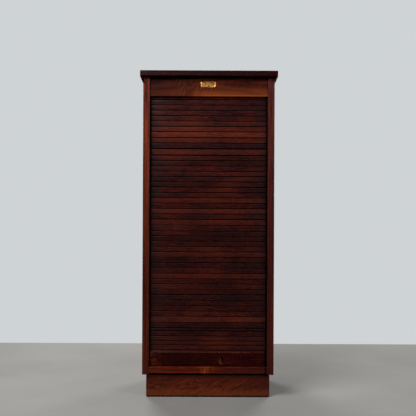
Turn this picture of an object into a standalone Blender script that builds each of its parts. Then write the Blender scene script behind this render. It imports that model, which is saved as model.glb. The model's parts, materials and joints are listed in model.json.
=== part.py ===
"""Tambour-front filing cabinet in dark stained oak.

Metres, +Z up. The cabinet stands on z = 0, its front faces -Y and +X is on the right as
one faces it. A curtain of slats runs in grooves in the two side frames: up the front,
over a false top and down behind a false back.
"""

import math

import bmesh
import bpy

# Overall sizes
CABINET_HEIGHT = 1.660
CARCASS_WIDTH = 0.669
CARCASS_DEPTH = 0.430

# Clearances
FIT_GAP = 0.0003  # between pieces that touch
CURTAIN_GAP = 0.003  # between the moving curtain and the boards beside it
TONGUE_PLAY = 0.0015  # groove width less tongue thickness
TONGUE_END_GAP = 0.0015  # between a tongue's end and the groove's floor

# Top board and the cove mouldings under its two ends
TOP_THICKNESS = 0.027
TOP_OVERHANG = 0.0145  # at the sides
TOP_FRONT_OVERHANG = 0.025
TOP_EDGE_RADIUS = 0.0025
COVE_HEIGHT = 0.025
COVE_PROJECTION = 0.0142
COVE_FILLET = 0.002
COVE_HOLLOW = 0.35  # from a straight slope, 0, to a quarter ellipse, 1
COVE_STEPS = 10

# Plinth
PLINTH_HEIGHT = 0.118
PLINTH_INSET = 0.0185
PLINTH_SETBACK = 0.020
PLINTH_BOARD = 0.022
PLINTH_FRONT_DROP = 0.006  # the front board's top below the other three
PLINTH_CORNER_RADIUS = 0.006
PLINTH_FOOT_RADIUS = 0.009  # the front board's lower corners, as faced

# Side frames
FRAME_THICKNESS = 0.0325
FRONT_STILE_WIDTH = 0.065
BACK_STILE_WIDTH = 0.070
SIDE_TOP_RAIL = 0.100
SIDE_MIDDLE_RAIL = 0.080
SIDE_BOTTOM_RAIL = 0.110
SIDE_MIDDLE_RAIL_HEIGHT = 0.860  # to the rail's middle
FRAME_EDGE = 0.0012
TENON_LENGTH = 0.030
TENON_THICKNESS = 0.010
TENON_SHOULDER = 0.014  # above and below the tenon
PANEL_THICKNESS = 0.008
PANEL_RECESS = 0.010  # from the frame's outer face
PANEL_GROOVE = 0.008

# Front frame
FASCIA_HEIGHT = 0.096
FASCIA_THICKNESS = 0.012
FASCIA_RECESS = 0.008  # behind the stiles' front edges
FASCIA_EDGE = 0.002
BOTTOM_RAIL_RECESS = 0.0025
BOTTOM_RAIL_HEIGHT = 0.032
BOTTOM_RAIL_RISE = 0.007  # its lower edge above the stiles' feet
BOTTOM_RAIL_DEPTH = 0.040

# Curtain
SLAT_RECESS = 0.022  # slat faces behind the stiles' front edges
CURTAIN_OVERLAP = 0.0413  # the closed curtain's top edge above the fascia's lower edge
SLAT_GROOVE = 0.0014  # between two slats' faces
SLAT_THICKNESS = 0.012
SLAT_EDGE_RADIUS = 0.003
SLAT_EDGE_STEPS = 3
SLATS_PER_SECTION = 4
LOWEST_SLATS = (0.229, 0.188, 0.225, 0.229, 0.129)  # shares of the lowest section's height
SECTION_COUNT = 12
SHOULDER_GAP = 0.006  # between a slat's shoulder and the stile
TONGUE_THICKNESS = 0.005
TRACK_DEPTH = 0.0105
TRACK_BEND_RADIUS = 0.042
TRACK_BEND_STEPS = 12
LEAD_BAR_HEIGHT = 0.081
LEAD_BAR_THICKNESS = 0.020
LEAD_BAR_PROUD = 0.006  # in front of the slats
LEAD_BAR_EDGE = 0.003
LEAD_BAR_SLOPE = 0.011  # height of the slope from its face back to the slats

# Inside
BACK_PANEL_THICKNESS = 0.008
FALSE_BACK_THICKNESS = 0.009
FALSE_TOP_THICKNESS = 0.012
FALSE_TOP_RISE = 0.020  # its underside above the fascia's lower edge
CANVAS_ALLOWANCE = 0.003  # room behind the slats for canvas and knuckles
BOTTOM_BOARD_THICKNESS = 0.020
SHELF_COUNT = 3
SHELF_THICKNESS = 0.018
SHELF_SETBACK = 0.0135  # front edge behind the slats' backs
CLEAT_THICKNESS = 0.016
CLEAT_HEIGHT = 0.022
CLEAT_SETBACK = 0.004
INNER_EDGE = 0.001

# Nameplate
PLATE_WIDTH = 0.074
PLATE_HEIGHT = 0.029
PLATE_THICKNESS = 0.0010
PLATE_CORNER_RADIUS = 0.003
PLATE_DROP = 0.0214  # below the fascia's top
PLATE_OFFSET = -0.004  # from the fascia's middle, to the left
PLATE_PIN_INSET = 0.005
PIN_HEAD_RADIUS = 0.0022
PIN_HEAD_HEIGHT = 0.0012
PIN_SHANK_RADIUS = 0.0008
PIN_SHANK_LENGTH = 0.008

# Lock. Its own origin is the middle of the lock case's lower edge.
LOCK_OFFSET = 0.074  # right of the cabinet's middle
LOCK_WIDTH = 0.056
LOCK_HEIGHT = 0.053
LOCK_THICKNESS = 0.012
LOCK_WALL = 0.0015
KEYHOLE_HEIGHT = 0.044
KEYHOLE_RADIUS = 0.0045
KEYHOLE_SLOT_WIDTH = 0.0050
KEYHOLE_SLOT_LENGTH = 0.016
BOLT_PIVOT_X = -0.014
BOLT_PIVOT_Z = 0.014
BOLT_INNER_RADIUS = 0.022
BOLT_OUTER_RADIUS = 0.030
BOLT_ARC_DEGREES = 50.0
BOLT_SPOKE_DEGREES = 10.0
BOLT_HUB_RADIUS = 0.007
BOLT_THICKNESS = 0.005
BOLT_PIN_RADIUS = 0.0028
BOLT_PIN_PLAY = 0.0002
BOLT_SIDE_PLAY = 0.0008
STRIKE_THICKNESS = 0.002
STRIKE_MARGIN = 0.010
STRIKE_POCKET_CLEARANCE = 0.003

# Derived places
TOP_UNDERSIDE = CABINET_HEIGHT - TOP_THICKNESS
CARCASS_TOP = TOP_UNDERSIDE - FIT_GAP
CARCASS_BOTTOM = PLINTH_HEIGHT + FIT_GAP
CARCASS_BACK = (CARCASS_DEPTH + TOP_FRONT_OVERHANG) / 2
CARCASS_FRONT = CARCASS_BACK - CARCASS_DEPTH
HALF_WIDTH = CARCASS_WIDTH / 2
HALF_OPENING = HALF_WIDTH - FRAME_THICKNESS
FASCIA_BOTTOM = CARCASS_TOP - FASCIA_HEIGHT
RAIL_BOTTOM = CARCASS_BOTTOM + BOTTOM_RAIL_RISE
RAIL_TOP = RAIL_BOTTOM + BOTTOM_RAIL_HEIGHT
BOTTOM_RAIL_REAR = CARCASS_FRONT + BOTTOM_RAIL_RECESS + BOTTOM_RAIL_DEPTH
SLAT_FRONT = CARCASS_FRONT + SLAT_RECESS
SLAT_BACK = SLAT_FRONT + SLAT_THICKNESS
TRACK_FRONT_Y = SLAT_BACK - TONGUE_THICKNESS / 2
SLAT_FACE_REACH = SLAT_THICKNESS - TONGUE_THICKNESS / 2
TRACK_TOP_Z = TOP_UNDERSIDE - SLAT_FACE_REACH - CURTAIN_GAP
TRACK_BACK_Y = CARCASS_BACK - BACK_PANEL_THICKNESS - SLAT_FACE_REACH - CURTAIN_GAP
TRACK_WIDTH = TONGUE_THICKNESS + TONGUE_PLAY
HALF_SLAT_FACE = HALF_OPENING - SHOULDER_GAP
HALF_TONGUE = HALF_OPENING + TRACK_DEPTH - TONGUE_END_GAP
LEAD_BAR_BOTTOM = RAIL_TOP + FIT_GAP
LEAD_BAR_TOP = LEAD_BAR_BOTTOM + LEAD_BAR_HEIGHT
LEAD_BAR_FRONT = SLAT_FRONT - LEAD_BAR_PROUD
LEAD_BAR_MIDDLE_Y = LEAD_BAR_FRONT + LEAD_BAR_THICKNESS / 2
CURTAIN_FOOT = LEAD_BAR_TOP + FIT_GAP
SECTION_PITCH = (FASCIA_BOTTOM + CURTAIN_OVERLAP - CURTAIN_FOOT) / SECTION_COUNT
SLAT_PITCH = SECTION_PITCH / SLATS_PER_SECTION
SECTION_HEIGHT = SECTION_PITCH - FIT_GAP
INSIDE_FRONT = SLAT_BACK + SHELF_SETBACK
FALSE_BACK_REAR = TRACK_BACK_Y - TONGUE_THICKNESS / 2 - CANVAS_ALLOWANCE - CURTAIN_GAP
FALSE_BACK_FRONT = FALSE_BACK_REAR - FALSE_BACK_THICKNESS
FALSE_TOP_BOTTOM = FASCIA_BOTTOM + FALSE_TOP_RISE
BACK_PANEL_FRONT = CARCASS_BACK - BACK_PANEL_THICKNESS
PANEL_OUTER_X = HALF_WIDTH - PANEL_RECESS
TENON_X = (PANEL_OUTER_X - PANEL_THICKNESS, PANEL_OUTER_X - PANEL_THICKNESS + TENON_THICKNESS)


# Scene, materials and shape helpers

for old in list(bpy.data.objects):
    bpy.data.objects.remove(old, do_unlink=True)

PARTS = bpy.data.collections.new("tambour_filing_cabinet")
CUTTERS = bpy.data.collections.new("cutters")
for group in (PARTS, CUTTERS):
    bpy.context.scene.collection.children.link(group)


def add_material(name, color, roughness, metallic=0.0):
    """A Principled material with a linear base colour."""
    made = bpy.data.materials.new(name)
    made.use_nodes = True
    shader = made.node_tree.nodes["Principled BSDF"]
    shader.inputs["Base Color"].default_value = (*color, 1.0)
    shader.inputs["Roughness"].default_value = roughness
    shader.inputs["Metallic"].default_value = metallic
    made.diffuse_color = (*color, 1.0)
    return made


OAK = add_material("dark_stained_oak", (0.085, 0.026, 0.014), 0.35)
LEAD_OAK = add_material("dark_stained_oak_lead_bar", (0.030, 0.010, 0.006), 0.40)
INNER_OAK = add_material("oak_inside", (0.230, 0.120, 0.055), 0.55)
PLY = add_material("birch_plywood", (0.330, 0.210, 0.110), 0.60)
BRASS = add_material("aged_brass", (0.440, 0.210, 0.075), 0.38, 1.0)
STEEL = add_material("lock_steel", (0.300, 0.290, 0.280), 0.40, 1.0)


def place(name, mesh, material, location=(0, 0, 0), rotation=(0, 0, 0)):
    """A part's object, in the cabinet's collection."""
    part = bpy.data.objects.new(name, mesh)
    part.location = location
    part.rotation_euler = rotation
    if not mesh.materials:
        mesh.materials.append(material)
    PARTS.objects.link(part)
    return part


def as_cutter(tool):
    """Moves an object to the cutters, which aren't parts."""
    if tool.name in PARTS.objects:
        PARTS.objects.unlink(tool)
    CUTTERS.objects.link(tool)
    tool.hide_render = True
    tool.display_type = "WIRE"
    return tool


def combine(part, tool, operation):
    """Adds a Boolean of the tool to the part."""
    step = part.modifiers.new(f"{operation.lower()}_{tool.name}", "BOOLEAN")
    step.operation = operation
    step.solver = "EXACT"
    step.object = tool


def cut(part, *tools):
    for tool in tools:
        combine(part, tool, "DIFFERENCE")


def round_edges(part, radius, segments=2):
    """Bevels the part's sharp edges."""
    bevel = part.modifiers.new("rounded_edges", "BEVEL")
    bevel.width = radius
    bevel.segments = segments
    bevel.limit_method = "ANGLE"


def box_mesh(name, size):
    mesh = bpy.data.meshes.new(name)
    shape = bmesh.new()
    bmesh.ops.create_cube(shape, size=1.0)
    bmesh.ops.scale(shape, vec=size, verts=shape.verts)
    shape.to_mesh(mesh)
    shape.free()
    return mesh


def board(name, x, y, z, material, edge=0.0):
    """A rectangular board that spans x, y and z, each a (low, high) pair."""
    size = [high - low for low, high in (x, y, z)]
    middle = [(low + high) / 2 for low, high in (x, y, z)]
    part = place(name, box_mesh(name, size), material, middle)
    if edge:
        round_edges(part, edge)
    return part


def box_cutter(name, x, y, z, grow=0.0):
    """A box for a Boolean, larger than its spans by grow on every side."""
    spans = [(low - grow, high + grow) for low, high in (x, y, z)]
    return as_cutter(board(name, *spans, None))


def on_side(side, inner, outer):
    """The x span from inner to outer, on the left (side -1) or the right (side 1)."""
    return tuple(sorted((side * inner, side * outer)))


def arc(centre, radius, start, end, steps):
    """Points of an arc, from start to end in degrees."""
    turn = [math.radians(start + (end - start) * i / steps) for i in range(steps + 1)]
    return [(centre[0] + radius * math.cos(a), centre[1] + radius * math.sin(a)) for a in turn]


def outline_mesh(name, outlines, thickness):
    """A closed mesh: flat outlines in X and Y, filled and given a thickness along Z.

    An outline inside another one is a hole.
    """
    curve = bpy.data.curves.new(name, "CURVE")
    curve.dimensions = "2D"
    curve.fill_mode = "BOTH"
    curve.extrude = thickness / 2
    for points in outlines:
        spline = curve.splines.new("POLY")
        spline.points.add(len(points) - 1)
        for point, (x, y) in zip(spline.points, points):
            point.co = (x, y, 0.0, 1.0)
        spline.use_cyclic_u = True
    source = bpy.data.objects.new(name, curve)
    bpy.context.scene.collection.objects.link(source)
    graph = bpy.context.evaluated_depsgraph_get()
    mesh = bpy.data.meshes.new_from_object(source.evaluated_get(graph))
    bpy.data.objects.remove(source, do_unlink=True)
    bpy.data.curves.remove(curve)
    shape = bmesh.new()
    shape.from_mesh(mesh)
    bmesh.ops.remove_doubles(shape, verts=shape.verts, dist=1e-6)
    bmesh.ops.recalc_face_normals(shape, faces=shape.faces)
    shape.to_mesh(mesh)
    shape.free()
    mesh.name = name
    return mesh


# Outlines drawn in Y and Z are extruded along X, those drawn in X and Z along Y
DRAWN_IN_YZ = (math.pi / 2, 0, math.pi / 2)
DRAWN_IN_XZ = (math.pi / 2, 0, 0)


def smooth_round_faces(part, degrees=40.0):
    """Smooth shading on a turned or rounded part, with its corners kept sharp."""
    part.data.shade_smooth()
    part.data.set_sharp_from_angle(angle=math.radians(degrees))


# Top board and cove moulding


def top_board():
    return board(
        "top_board",
        (-HALF_WIDTH - TOP_OVERHANG, HALF_WIDTH + TOP_OVERHANG),
        (CARCASS_FRONT - TOP_FRONT_OVERHANG, CARCASS_BACK),
        (TOP_UNDERSIDE, CABINET_HEIGHT),
        OAK,
        TOP_EDGE_RADIUS,
    )


def cove_profile():
    """Moulding section as (distance out from the carcass, height) pairs."""
    reach, drop = COVE_PROJECTION - COVE_FILLET, COVE_HEIGHT - 2 * COVE_FILLET
    hollow = []
    for i in range(COVE_STEPS + 1):
        share, turn = i / COVE_STEPS, math.pi / 2 * i / COVE_STEPS
        inwards = share + COVE_HOLLOW * (math.sin(turn) - share)
        down = share + COVE_HOLLOW * (1 - math.cos(turn) - share)
        hollow.append((COVE_PROJECTION - reach * inwards, CARCASS_TOP - COVE_FILLET - drop * down))
    back, bottom = FIT_GAP, CARCASS_TOP - COVE_HEIGHT
    upper = [(back, CARCASS_TOP), (COVE_PROJECTION, CARCASS_TOP)]
    return [*upper, *hollow, (COVE_FILLET, bottom), (back, bottom)]


def cove_mouldings():
    """One length under each end of the top board, as long as the board is deep."""
    front = CARCASS_FRONT - TOP_FRONT_OVERHANG + TOP_EDGE_RADIUS
    length, middle = CARCASS_BACK - front, (CARCASS_BACK + front) / 2
    for side, word in ((-1, "left"), (1, "right")):
        section = [(side * (HALF_WIDTH + out), up) for out, up in cove_profile()]
        mesh = outline_mesh(f"cove_moulding_{word}", [section], length)
        smooth_round_faces(place(f"cove_moulding_{word}", mesh, OAK, (0, middle, 0), DRAWN_IN_XZ))


# Plinth


def foot_corner(half):
    """What is taken off the plinth front's lower corner, in X and Z."""
    foot = PLINTH_FOOT_RADIUS
    rounding = arc((half - foot, foot), foot, 270, 360, 6)
    return [*rounding, (half + foot, foot), (half + foot, -foot), (half - foot, -foot)]


def plinth():
    """Four boards: front and back at full width, the sides between them.

    The front one stops short of the carcass, which leaves a dark line under the rail.
    """
    half = HALF_WIDTH - PLINTH_INSET
    front = CARCASS_FRONT + PLINTH_SETBACK
    radius = PLINTH_CORNER_RADIUS
    front_rear = front + PLINTH_BOARD
    corners = [
        (half, front_rear),
        (-half, front_rear),
        *arc((-half + radius, front + radius), radius, 180, 270, 6),
        *arc((half - radius, front + radius), radius, 270, 360, 6),
    ]
    front_height = PLINTH_HEIGHT - PLINTH_FRONT_DROP
    mesh = outline_mesh("plinth_front", [corners], front_height)
    front_board = place("plinth_front", mesh, OAK, (0, 0, front_height / 2))
    smooth_round_faces(front_board)
    for side, word in ((-1, "left"), (1, "right")):
        outline = [(side * x, z) for x, z in foot_corner(half)]
        corner = outline_mesh(f"plinth_corner_{word}", [outline], 3 * PLINTH_BOARD)
        tool = place(f"plinth_corner_{word}", corner, None, (0, front, 0), DRAWN_IN_XZ)
        cut(front_board, as_cutter(tool))
    height = (0, PLINTH_HEIGHT)
    back_front = CARCASS_BACK - PLINTH_BOARD
    board("plinth_back", (-half, half), (back_front, CARCASS_BACK), height, OAK, INNER_EDGE)
    for side, word in ((-1, "left"), (1, "right")):
        board(
            f"plinth_{word}",
            on_side(side, half - PLINTH_BOARD, half),
            (front_rear + FIT_GAP, back_front - FIT_GAP),
            height,
            OAK,
        )


# Side frames


def track_centre(radius_change):
    """The groove's path in Y and Z, from the front's foot to the back's, offset outwards."""
    radius = TRACK_BEND_RADIUS + radius_change
    bend_z = TRACK_TOP_Z - TRACK_BEND_RADIUS
    front = (TRACK_FRONT_Y + TRACK_BEND_RADIUS, bend_z)
    back = (TRACK_BACK_Y - TRACK_BEND_RADIUS, bend_z)
    foot = CARCASS_BOTTOM - TRACK_WIDTH
    return [
        (TRACK_FRONT_Y - radius_change, RAIL_TOP),
        *arc(front, radius, 180, 90, TRACK_BEND_STEPS),
        *arc(back, radius, 90, 0, TRACK_BEND_STEPS),
        (TRACK_BACK_Y + radius_change, foot),
    ]


def track_cutter(side, word):
    """The curtain's groove in one side frame: front, over the top and out at the back's foot."""
    outer, inner = track_centre(TRACK_WIDTH / 2), track_centre(-TRACK_WIDTH / 2)
    extra = TRACK_DEPTH  # past the frame's inner face
    mesh = outline_mesh(f"track_{word}", [outer + inner[::-1]], TRACK_DEPTH + extra)
    middle = side * (HALF_OPENING + (TRACK_DEPTH - extra) / 2)
    return as_cutter(place(f"track_{word}", mesh, None, (middle, 0, 0), DRAWN_IN_YZ))


def side_frame(side, word):
    """Two stiles, three rails tenoned into them, and two panels in grooves."""
    thickness = on_side(side, HALF_OPENING, HALF_WIDTH)
    front_inner = CARCASS_FRONT + FRONT_STILE_WIDTH
    back_inner = CARCASS_BACK - BACK_STILE_WIDTH
    full_height = (CARCASS_BOTTOM, CARCASS_TOP)
    front_y, back_y = (CARCASS_FRONT, front_inner), (back_inner, CARCASS_BACK)
    stiles = [
        board(f"front_stile_{word}", thickness, front_y, full_height, OAK, FRAME_EDGE),
        board(f"back_stile_{word}", thickness, back_y, full_height, OAK, FRAME_EDGE),
    ]
    between = (front_inner + FIT_GAP, back_inner - FIT_GAP)
    half_middle = SIDE_MIDDLE_RAIL / 2
    rail_spans = {
        "bottom": (CARCASS_BOTTOM, CARCASS_BOTTOM + SIDE_BOTTOM_RAIL),
        "middle": (SIDE_MIDDLE_RAIL_HEIGHT - half_middle, SIDE_MIDDLE_RAIL_HEIGHT + half_middle),
        "top": (CARCASS_TOP - SIDE_TOP_RAIL, CARCASS_TOP),
    }
    tenon_x = on_side(side, *TENON_X)
    tenon_y = (front_inner - TENON_LENGTH, back_inner + TENON_LENGTH)
    rails = {}
    for place_word, span in rail_spans.items():
        name = f"side_{place_word}_rail_{word}"
        rails[place_word] = board(name, thickness, between, span, OAK, FRAME_EDGE)
        tenon_z = (span[0] + TENON_SHOULDER, span[1] - TENON_SHOULDER)
        combine(rails[place_word], box_cutter(f"tenons_{name}", tenon_x, tenon_y, tenon_z), "UNION")
        mortise = box_cutter(f"mortises_{name}", tenon_x, tenon_y, tenon_z, FIT_GAP)
        for stile in stiles:
            cut(stile, mortise)
    panel_x = on_side(side, PANEL_OUTER_X - PANEL_THICKNESS, PANEL_OUTER_X)
    panel_y = (front_inner - PANEL_GROOVE, back_inner + PANEL_GROOVE)
    for place_word, below, above in (("lower", "bottom", "middle"), ("upper", "middle", "top")):
        panel_z = (rail_spans[below][1] - PANEL_GROOVE, rail_spans[above][0] + PANEL_GROOVE)
        name = f"side_panel_{place_word}_{word}"
        board(name, panel_x, panel_y, panel_z, OAK)
        groove = box_cutter(f"groove_{name}", panel_x, panel_y, panel_z, FIT_GAP)
        for piece in (*stiles, rails[below], rails[above]):
            cut(piece, groove)
    track = track_cutter(side, word)
    for piece in (*stiles, rails["top"]):
        cut(piece, track)


# Front frame


def fascia():
    front = CARCASS_FRONT + FASCIA_RECESS
    x = (-HALF_OPENING + FIT_GAP, HALF_OPENING - FIT_GAP)
    y = (front, front + FASCIA_THICKNESS)
    return board("fascia_board", x, y, (FASCIA_BOTTOM, CARCASS_TOP), OAK, FASCIA_EDGE)


def bottom_rail():
    x = (-HALF_OPENING + FIT_GAP, HALF_OPENING - FIT_GAP)
    y = (CARCASS_FRONT + BOTTOM_RAIL_RECESS, BOTTOM_RAIL_REAR)
    return board("bottom_rail", x, y, (RAIL_BOTTOM, RAIL_TOP), OAK, FRAME_EDGE)


def nameplate(fascia_part):
    """A blank brass plate on the fascia, held by two round-headed pins."""
    face = CARCASS_FRONT + FASCIA_RECESS - FIT_GAP
    half_w, half_h, r = PLATE_WIDTH / 2, PLATE_HEIGHT / 2, PLATE_CORNER_RADIUS
    corners = [
        *arc((half_w - r, half_h - r), r, 0, 90, 5),
        *arc((-half_w + r, half_h - r), r, 90, 180, 5),
        *arc((-half_w + r, -half_h + r), r, 180, 270, 5),
        *arc((half_w - r, -half_h + r), r, 270, 360, 5),
    ]
    pin_x = half_w - PLATE_PIN_INSET
    hole_radius = PIN_SHANK_RADIUS + FIT_GAP
    holes = [arc((side * pin_x, 0), hole_radius, 345, 0, 15) for side in (-1, 1)]
    mesh = outline_mesh("nameplate", [corners, *holes], PLATE_THICKNESS)
    height = CARCASS_TOP - PLATE_DROP - half_h
    middle = (PLATE_OFFSET, face - PLATE_THICKNESS / 2, height)
    place("nameplate", mesh, BRASS, middle, DRAWN_IN_XZ)
    plate_face = face - PLATE_THICKNESS
    depth = PIN_SHANK_LENGTH + FIT_GAP
    for side, word in ((-1, "left"), (1, "right")):
        x = PLATE_OFFSET + side * pin_x
        pin(f"nameplate_pin_{word}", (x, plate_face - FIT_GAP, height))
        hole_mesh = outline_mesh(f"pin_hole_{word}", [arc((0, 0), hole_radius, 345, 0, 15)], 2 * depth)
        hole = place(f"pin_hole_{word}", hole_mesh, None, (x, plate_face, height), DRAWN_IN_XZ)
        cut(fascia_part, as_cutter(hole))


def pin(name, location):
    """A round-headed pin, turned about its own Z with its shank pointing down Z."""
    dome = [
        (PIN_HEAD_RADIUS * math.sin(a), PIN_HEAD_HEIGHT * math.cos(a))
        for a in (math.pi / 2 * i / 5 for i in range(6))
    ]
    shank = [(PIN_SHANK_RADIUS, 0.0), (PIN_SHANK_RADIUS, -PIN_SHANK_LENGTH)]
    profile = [*dome, *shank, (0.0, -PIN_SHANK_LENGTH)]
    mesh = bpy.data.meshes.new(name)
    edges = [(i, i + 1) for i in range(len(profile) - 1)]
    mesh.from_pydata([(radius, 0.0, up) for radius, up in profile], edges, [])
    part = place(name, mesh, BRASS, location, (math.pi / 2, 0, 0))
    turn = part.modifiers.new("turned", "SCREW")
    turn.axis = "Z"
    turn.steps = turn.render_steps = 20
    turn.use_merge_vertices = True
    turn.merge_threshold = 0.00001
    turn.use_smooth_shade = True
    return part


# Curtain


def slat_outlines(heights):
    """Each slat's face section in Y and Z: square at the back, rounded at the front."""
    r, inside = SLAT_EDGE_RADIUS, SLAT_BACK - TONGUE_THICKNESS / 2
    outlines = []
    foot = 0.0
    for height in heights:
        low = foot + SLAT_GROOVE / 2
        high = foot + height - SLAT_GROOVE / 2 - FIT_GAP / 2
        outlines.append(
            [
                (inside, low),
                (inside, high),
                *arc((SLAT_FRONT + r, high - r), r, 90, 180, SLAT_EDGE_STEPS),
                *arc((SLAT_FRONT + r, low + r), r, 180, 270, SLAT_EDGE_STEPS),
            ]
        )
        foot += height
    return outlines


def section_mesh(name, heights):
    """One section of the curtain: slat faces on a web that ends in the two tongues."""
    faces = outline_mesh(f"faces_{name}", slat_outlines(heights), 2 * HALF_SLAT_FACE)
    section = place(f"source_{name}", faces, OAK, (0, 0, 0), DRAWN_IN_YZ)
    web = box_cutter(
        f"web_{name}",
        (-HALF_TONGUE, HALF_TONGUE),
        (SLAT_BACK - TONGUE_THICKNESS, SLAT_BACK),
        (0, SECTION_HEIGHT),
    )
    combine(section, web, "UNION")
    graph = bpy.context.evaluated_depsgraph_get()
    mesh = bpy.data.meshes.new_from_object(section.evaluated_get(graph))
    mesh.transform(section.matrix_world)
    mesh.name = name
    bpy.data.objects.remove(section, do_unlink=True)
    bpy.data.objects.remove(web, do_unlink=True)
    return mesh


def curtain():
    """The slats in sections, numbered from the lead bar up. All but the lowest are alike."""
    lowest = section_mesh("lowest_section", [share * SECTION_PITCH for share in LOWEST_SLATS])
    other = section_mesh("tambour_section", [SLAT_PITCH] * SLATS_PER_SECTION)
    for number in range(SECTION_COUNT):
        foot = CURTAIN_FOOT + number * SECTION_PITCH
        mesh = other if number else lowest
        place(f"tambour_section_{number + 1:02d}", mesh, OAK, (0, 0, foot))


def keyhole_outline():
    """Round above, slot below, about the round part's middle."""
    half = KEYHOLE_SLOT_WIDTH / 2
    start = math.degrees(math.asin(half / KEYHOLE_RADIUS))
    return [
        *arc((0, 0), KEYHOLE_RADIUS, -90 + start, 270 - start, 16),
        (-half, -KEYHOLE_SLOT_LENGTH),
        (half, -KEYHOLE_SLOT_LENGTH),
    ]


def keyhole_cutter():
    """Cuts the lead bar's face and the lock case's front wall."""
    depth = 2 * (LEAD_BAR_THICKNESS / 2 - LOCK_THICKNESS / 2 + LOCK_WALL * 2)
    mesh = outline_mesh("keyhole", [keyhole_outline()], depth)
    location = (LOCK_OFFSET, LEAD_BAR_FRONT, LEAD_BAR_BOTTOM + KEYHOLE_HEIGHT)
    return as_cutter(place("keyhole", mesh, None, location, DRAWN_IN_XZ))


def lead_bar(keyhole):
    """The wide bar at the curtain's foot, tongued like the slats and cut for its lock."""
    low, high, r = LEAD_BAR_BOTTOM, LEAD_BAR_TOP, LEAD_BAR_EDGE
    section = [
        (LEAD_BAR_FRONT + LEAD_BAR_THICKNESS, low),
        (LEAD_BAR_FRONT + LEAD_BAR_THICKNESS, high),
        (SLAT_FRONT, high),
        (LEAD_BAR_FRONT, high - LEAD_BAR_SLOPE),
        *arc((LEAD_BAR_FRONT + r, low + r), r, 180, 270, SLAT_EDGE_STEPS),
    ]
    mesh = outline_mesh("shutter_lead_bar", [section], 2 * HALF_SLAT_FACE)
    part = place("shutter_lead_bar", mesh, LEAD_OAK, (0, 0, 0), DRAWN_IN_YZ)
    tongues = box_cutter(
        "lead_bar_tongues",
        (-HALF_TONGUE, HALF_TONGUE),
        (SLAT_BACK - TONGUE_THICKNESS, SLAT_BACK),
        (LEAD_BAR_BOTTOM + LEAD_BAR_EDGE, LEAD_BAR_TOP - LEAD_BAR_EDGE),
    )
    combine(part, tongues, "UNION")
    half_w, half_t = LOCK_WIDTH / 2 + FIT_GAP, LOCK_THICKNESS / 2 + FIT_GAP
    mortise = box_cutter(
        "lock_mortise",
        (LOCK_OFFSET - half_w, LOCK_OFFSET + half_w),
        (LEAD_BAR_MIDDLE_Y - half_t, LEAD_BAR_MIDDLE_Y + half_t),
        (LEAD_BAR_BOTTOM - LOCK_WALL, LEAD_BAR_BOTTOM + LOCK_HEIGHT + FIT_GAP),
    )
    cut(part, mortise, keyhole)
    return part


# Lock


def bolt_slot(height):
    """The x span, from the pivot, that the hook's arc crosses at this height from the pivot."""
    return (
        math.sqrt(BOLT_INNER_RADIUS**2 - height**2),
        math.sqrt(BOLT_OUTER_RADIUS**2 - height**2),
    )


def lock_case(keyhole):
    """A box round the bolt, open where the hook swings out below and at the keyhole."""
    half_w, half_t = LOCK_WIDTH / 2, LOCK_THICKNESS / 2
    x = (LOCK_OFFSET - half_w, LOCK_OFFSET + half_w)
    y = (LEAD_BAR_MIDDLE_Y - half_t, LEAD_BAR_MIDDLE_Y + half_t)
    z = (LEAD_BAR_BOTTOM, LEAD_BAR_BOTTOM + LOCK_HEIGHT)
    part = board("lock_case", x, y, z, STEEL)
    inside = box_cutter("lock_case_inside", x, y, z, -LOCK_WALL)
    pivot = LOCK_OFFSET + BOLT_PIVOT_X
    low, high = bolt_slot(BOLT_PIVOT_Z)[0], bolt_slot(BOLT_PIVOT_Z - LOCK_WALL)[1]
    half_slot = BOLT_THICKNESS / 2 + BOLT_SIDE_PLAY
    slot = box_cutter(
        "lock_case_slot",
        (pivot + low - BOLT_SIDE_PLAY, pivot + high + BOLT_SIDE_PLAY),
        (LEAD_BAR_MIDDLE_Y - half_slot, LEAD_BAR_MIDDLE_Y + half_slot),
        (LEAD_BAR_BOTTOM - LOCK_WALL, LEAD_BAR_BOTTOM + 2 * LOCK_WALL),
    )
    cut(part, inside, slot, keyhole)
    return part


def hook_bolt():
    """A hub, a spoke and a curved hook, drawn about the pivot and drawn up in the case."""
    arc_end, spoke = BOLT_ARC_DEGREES, BOLT_SPOKE_DEGREES
    outline = [
        *arc((0, 0), BOLT_OUTER_RADIUS, 0, arc_end, 10),
        *arc((0, 0), BOLT_HUB_RADIUS, arc_end + 30, 360 + arc_end - spoke - 30, 16),
        *arc((0, 0), BOLT_INNER_RADIUS, arc_end - spoke, 0, 8),
    ]
    hole = arc((0, 0), BOLT_PIN_RADIUS + BOLT_PIN_PLAY, 345, 0, 23)
    mesh = outline_mesh("lock_hook_bolt", [outline, hole], BOLT_THICKNESS)
    location = (LOCK_OFFSET + BOLT_PIVOT_X, LEAD_BAR_MIDDLE_Y, LEAD_BAR_BOTTOM + BOLT_PIVOT_Z)
    place("lock_hook_bolt", mesh, STEEL, location, DRAWN_IN_XZ)
    length = LOCK_THICKNESS - 2 * LOCK_WALL - 2 * FIT_GAP
    stud = outline_mesh("lock_bolt_pin", [arc((0, 0), BOLT_PIN_RADIUS, 345, 0, 23)], length)
    smooth_round_faces(place("lock_bolt_pin", stud, STEEL, location, DRAWN_IN_XZ))


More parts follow.
